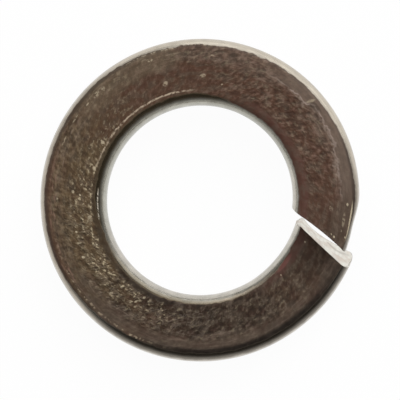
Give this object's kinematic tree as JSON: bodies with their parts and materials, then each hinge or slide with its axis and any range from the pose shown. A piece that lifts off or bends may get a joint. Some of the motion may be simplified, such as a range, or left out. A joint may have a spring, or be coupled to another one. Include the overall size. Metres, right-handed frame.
{
  "type": "spring lock washer",
  "caption": "Split spring lock washer: a single left-hand turn of keystone steel wire with slant-sheared ends, one raised above the other to grip under a nut or bolt head.",
  "frame": {"origin": "on the bolt's axis, in the plane the washer's lowest corner rests on", "axes": "+Z along the bolt's axis, away from the low end, towards the raised tip; the gap between the ends lies 16 degrees from +X towards -Y"},
  "size_m": [0.0178, 0.0178, 0.0046],
  "materials": {
    "browned_spring_steel": "brown oxide film on the faces, bare grey steel on the walls and sheared ends"
  },
  "bodies": {
    "root": {"spring_lock_washer": "browned_spring_steel"}
  },
  "joints": []
}
